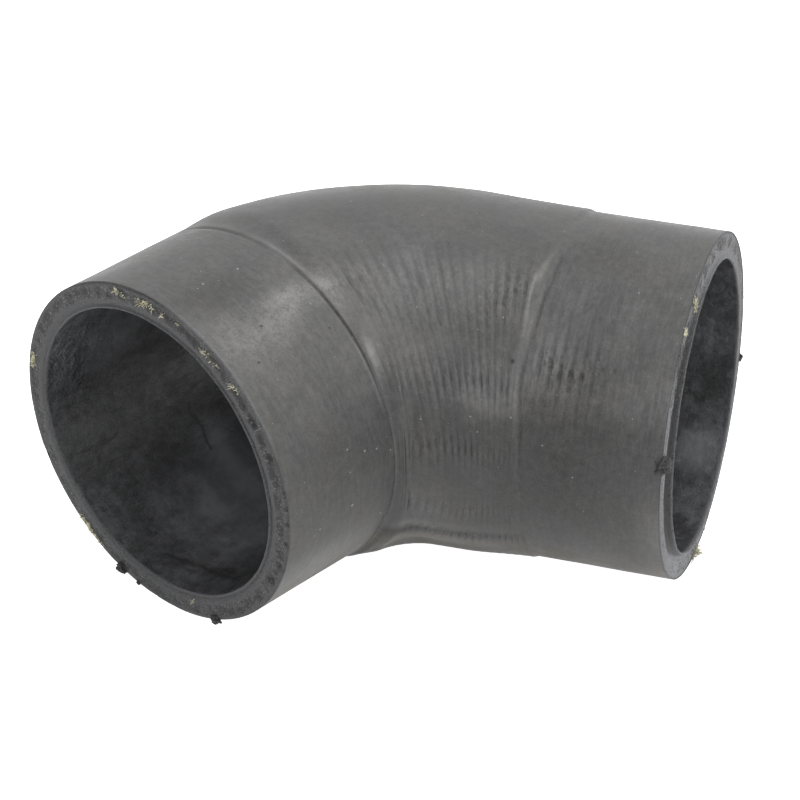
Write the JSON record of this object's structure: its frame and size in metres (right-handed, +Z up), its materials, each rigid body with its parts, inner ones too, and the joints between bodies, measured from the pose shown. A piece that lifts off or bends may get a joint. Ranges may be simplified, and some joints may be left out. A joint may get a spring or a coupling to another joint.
{
  "type": "intercooler hose",
  "caption": "Short bent elbow of thick reinforced rubber hose with a straight cuff at each end, which joins two slightly unlike charge-air pipes.",
  "frame": {"origin": "on the surface that the hose lies on, under the middle of its box", "axes": "+X along the narrow cuff, out of its mouth; +Z up, square to the plane of the bend; the wide mouth faces -X and -Y"},
  "size_m": [0.1556, 0.1192, 0.0852],
  "materials": {
    "black_rubber": "satin moulded rubber with cord ridges on the bend, a grey bloom, and rough knife-cut ends with frayed cream cord"
  },
  "bodies": {
    "root": {"hose": "black_rubber"}
  },
  "joints": []
}
